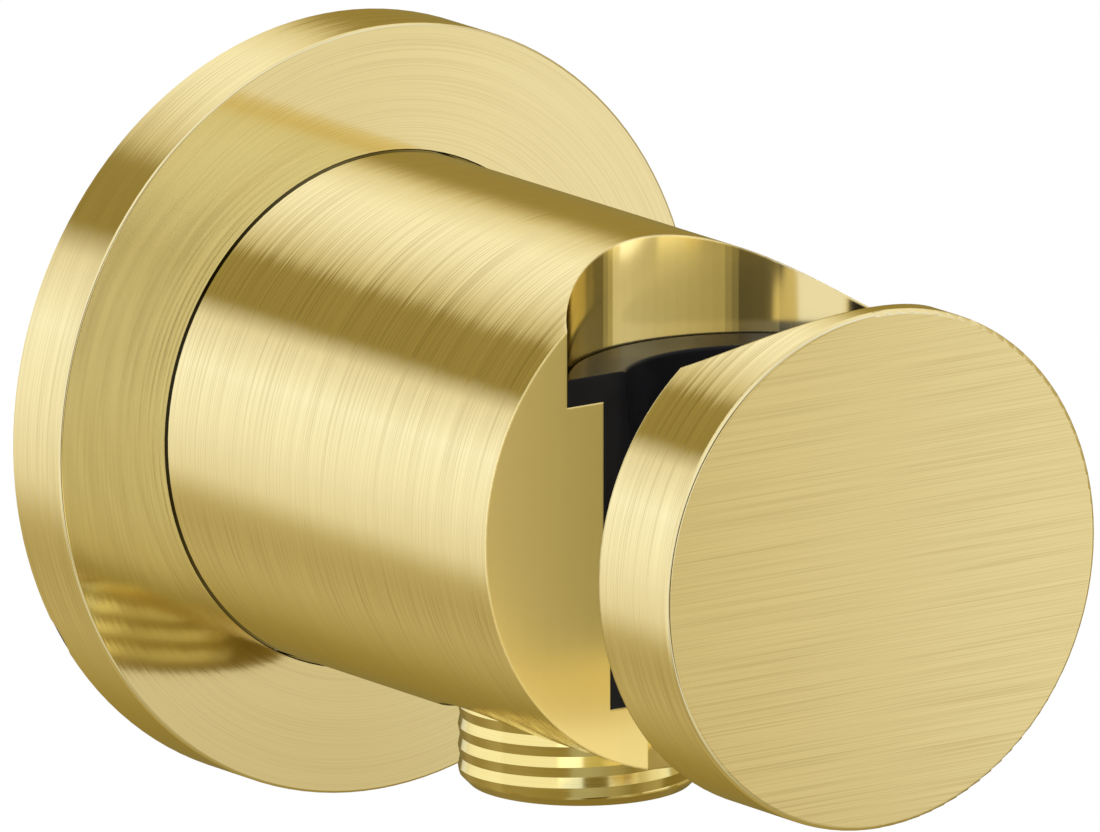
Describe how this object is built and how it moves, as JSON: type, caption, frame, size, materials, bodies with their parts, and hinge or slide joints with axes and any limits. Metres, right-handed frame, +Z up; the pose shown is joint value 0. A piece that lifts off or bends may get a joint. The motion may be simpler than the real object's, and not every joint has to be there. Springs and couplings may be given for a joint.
{
  "type": "shower holder with wall outlet",
  "caption": "Wall-mounted shower holder and hose outlet: round flange, slotted cylindrical body with a conical handset seat, threaded hose nipple below and a check valve inside.",
  "frame": {"origin": "centre of the flange's wall face, on the body's axis", "axes": "+Z up, +Y into the wall so that the body projects towards -Y, +X to the right seen from the front"},
  "size_m": [0.0676, 0.0946, 0.0676],
  "materials": {
    "gold_brass": "brushed gold coating on brass",
    "plain_brass": "plain turned brass",
    "black_plastic": "satin black moulding",
    "black_rubber": "matt black rubber",
    "valve_plastic": "natural white moulding",
    "stainless_steel": "plain stainless steel"
  },
  "bodies": {
    "holder": {"wall_flange": "gold_brass", "flange_wall_seal": "black_rubber", "flange_grip_ring": "black_rubber", "holder_body": "gold_brass", "cone_insert": "black_plastic", "wall_nipple": "plain_brass", "nipple_o_ring_rear": "black_rubber", "nipple_o_ring_front": "black_rubber", "body_grub_screw": "stainless_steel", "outlet_nipple": "gold_brass", "outlet_nipple_o_ring": "black_rubber", "check_valve_cage": "valve_plastic", "check_valve_o_ring": "black_rubber", "check_valve_spring": "stainless_steel", "check_valve_guide": "valve_plastic"},
    "valve_poppet": {"check_valve_poppet": "valve_plastic", "poppet_seal": "black_rubber"}
  },
  "joints": [
    {"name": "check_valve_open", "type": "slide", "parent": "holder", "child": "valve_poppet", "axis": [0, 0, -1], "range_m": [0, 0.0025], "stiffness_N_per_m": 100, "springref_m": -0.0009, "deforming": ["check_valve_spring"]}
  ]
}
